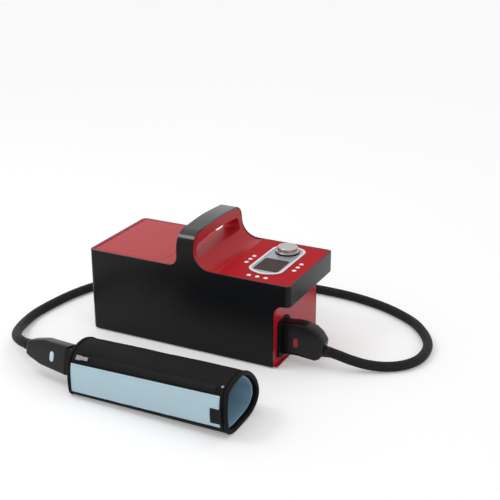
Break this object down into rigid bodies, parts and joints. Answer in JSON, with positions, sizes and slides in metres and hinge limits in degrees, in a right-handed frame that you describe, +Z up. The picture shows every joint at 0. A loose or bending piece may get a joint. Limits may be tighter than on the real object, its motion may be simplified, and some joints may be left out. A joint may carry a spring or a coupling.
{
  "type": "hot cold therapy machine",
  "caption": "Carry-handled ice-reservoir pump unit with a hinged lid, knob-and-key control panel and a braided hose to a padded limb wrap.",
  "frame": {"origin": "centre of the unit's footprint on the surface it stands on, under the handle's middle", "axes": "+X along the case to the control-head end, -Y the front with the wrap, +Z up"},
  "size_m": [0.7556, 0.6052, 0.231],
  "materials": {
    "black_shell": "satin, fine texture",
    "red_shell": "satin gloss",
    "grip_rubber": "matt, soft touch",
    "foot_rubber": "matt",
    "steel": "machined",
    "foam": "moulded foam",
    "tub_plastic": "smooth moulding",
    "grey_plastic": "moulded",
    "motor_metal": "drawn can",
    "tube_rubber": "smooth tube",
    "air_rubber": "smooth tube",
    "board": "circuit board",
    "bezel_silver": "painted pale silver",
    "lens": "glossy window over a dark display",
    "knob_silver": "satin plated, ringed edge",
    "collar_black": "matt",
    "key_white": "smooth",
    "port_black": "satin",
    "connector_black": "satin",
    "release_red": "smooth",
    "release_pale": "smooth",
    "braid": "braided sleeve",
    "nylon": "woven nylon over padding",
    "lining": "coated lining",
    "panel_cloth": "satin cloth",
    "piping": "edge tape",
    "tab_cloth": "woven tab",
    "slider_metal": "die-cast"
  },
  "bodies": {
    "unit": {"front_shell": "black_shell", "rear_shell": "black_shell", "base_tray": "grey_plastic", "foot_ring": "foot_rubber", "base_screws": "steel", "lid_frame": "red_shell", "handle_core": "red_shell", "handle_grip": "grip_rubber", "control_deck": "red_shell", "tub_jacket": "foam", "reservoir_tub": "tub_plastic", "strainer": "grey_plastic", "hinge_pins": "steel", "pump_housing": "grey_plastic", "pump_motor": "motor_metal", "compressor_housing": "grey_plastic", "compressor_motor": "motor_metal", "valve_block": "grey_plastic", "suction_tube": "tube_rubber", "delivery_tube": "tube_rubber", "return_tube": "tube_rubber", "air_tube": "air_rubber", "main_board": "board", "display_board": "board", "display_bezel": "bezel_silver", "display_lens": "lens", "encoder": "grey_plastic", "knob_collar": "collar_black", "hose_port": "port_black", "port_bezel": "port_black", "power_inlet": "port_black", "unit_connector": "connector_black", "hose": "braid", "wrap_connector": "connector_black", "wrap_port": "connector_black", "wrap_sleeve": "nylon", "wrap_lining": "lining", "wrap_panel": "panel_cloth", "wrap_piping": "piping", "wrap_tab": "tab_cloth", "zip_tape": "nylon"},
    "lid_group": {"lid": "red_shell", "lid_plug": "foam", "lid_seal": "air_rubber"},
    "plunger": {"knob_plunger": "steel"},
    "knob_body": {"knob": "knob_silver"},
    "unit_button": {"unit_release": "release_red"},
    "wrap_button": {"wrap_release": "release_pale"},
    "rotor": {"pump_rotor": "steel"},
    "crank": {"compressor_crank": "steel"},
    "slider": {"zip_slider": "slider_metal"},
    "key_body_1": {"key_1": "key_white"},
    "key_body_2": {"key_2": "key_white"},
    "key_body_3": {"key_3": "key_white"},
    "key_body_4": {"key_4": "key_white"},
    "key_body_5": {"key_5": "key_white"},
    "key_body_6": {"key_6": "key_white"},
    "key_body_7": {"key_7": "key_white"},
    "key_body_8": {"key_8": "key_white"},
    "key_body_9": {"key_9": "key_white"}
  },
  "joints": [
    {"name": "lid_hinge", "type": "hinge", "parent": "unit", "child": "lid_group", "pos_m": [-0.1965, 0, 0.1601], "axis": [0, -1, 0], "range_deg": [0, 95]},
    {"name": "knob_push", "type": "slide", "parent": "unit", "child": "plunger", "axis": [0, 0, -1], "range_m": [0, 0.0008], "stiffness_N_per_m": 3000, "springref_m": -0.0002},
    {"name": "knob_turn", "type": "hinge", "parent": "plunger", "child": "knob_body", "pos_m": [0.1345, 0.051, 0.165], "axis": [0, 0, 1], "continuous": true},
    {"name": "key_1_push", "type": "slide", "parent": "unit", "child": "key_body_1", "axis": [0, 0, -1], "range_m": [0, 0.001], "stiffness_N_per_m": 1500, "springref_m": -0.0002},
    {"name": "key_2_push", "type": "slide", "parent": "unit", "child": "key_body_2", "axis": [0, 0, -1], "range_m": [0, 0.001], "stiffness_N_per_m": 1500, "springref_m": -0.0002},
    {"name": "key_3_push", "type": "slide", "parent": "unit", "child": "key_body_3", "axis": [0, 0, -1], "range_m": [0, 0.001], "stiffness_N_per_m": 1500, "springref_m": -0.0002},
    {"name": "key_4_push", "type": "slide", "parent": "unit", "child": "key_body_4", "axis": [0, 0, -1], "range_m": [0, 0.001], "stiffness_N_per_m": 1500, "springref_m": -0.0002},
    {"name": "key_5_push", "type": "slide", "parent": "unit", "child": "key_body_5", "axis": [0, 0, -1], "range_m": [0, 0.001], "stiffness_N_per_m": 1500, "springref_m": -0.0002},
    {"name": "key_6_push", "type": "slide", "parent": "unit", "child": "key_body_6", "axis": [0, 0, -1], "range_m": [0, 0.001], "stiffness_N_per_m": 1500, "springref_m": -0.0002},
    {"name": "key_7_push", "type": "slide", "parent": "unit", "child": "key_body_7", "axis": [0, 0, -1], "range_m": [0, 0.001], "stiffness_N_per_m": 1500, "springref_m": -0.0002},
    {"name": "key_8_push", "type": "slide", "parent": "unit", "child": "key_body_8", "axis": [0, 0, -1], "range_m": [0, 0.001], "stiffness_N_per_m": 1500, "springref_m": -0.0002},
    {"name": "key_9_push", "type": "slide", "parent": "unit", "child": "key_body_9", "axis": [0, 0, -1], "range_m": [0, 0.001], "stiffness_N_per_m": 1500, "springref_m": -0.0002},
    {"name": "unit_release_push", "type": "slide", "parent": "unit", "child": "unit_button", "axis": [0, 1, 0], "range_m": [0, 0.0015], "stiffness_N_per_m": 1500, "springref_m": -0.0002},
    {"name": "wrap_release_push", "type": "slide", "parent": "unit", "child": "wrap_button", "axis": [0.1451, 0.9673, -0.2079], "range_m": [0, 0.0015], "stiffness_N_per_m": 1500, "springref_m": -0.0002},
    {"name": "pump_spin", "type": "hinge", "parent": "unit", "child": "rotor", "pos_m": [0, -0.04, 0.04], "axis": [1, 0, 0], "continuous": true},
    {"name": "crank_spin", "type": "hinge", "parent": "unit", "child": "crank", "pos_m": [0.1, 0.042, 0.028], "axis": [1, 0, 0], "continuous": true},
    {"name": "zip_run", "type": "slide", "parent": "unit", "child": "slider", "axis": [0.999, -0.0269, 0.0348], "range_m": [0, 0.245]}
  ]
}
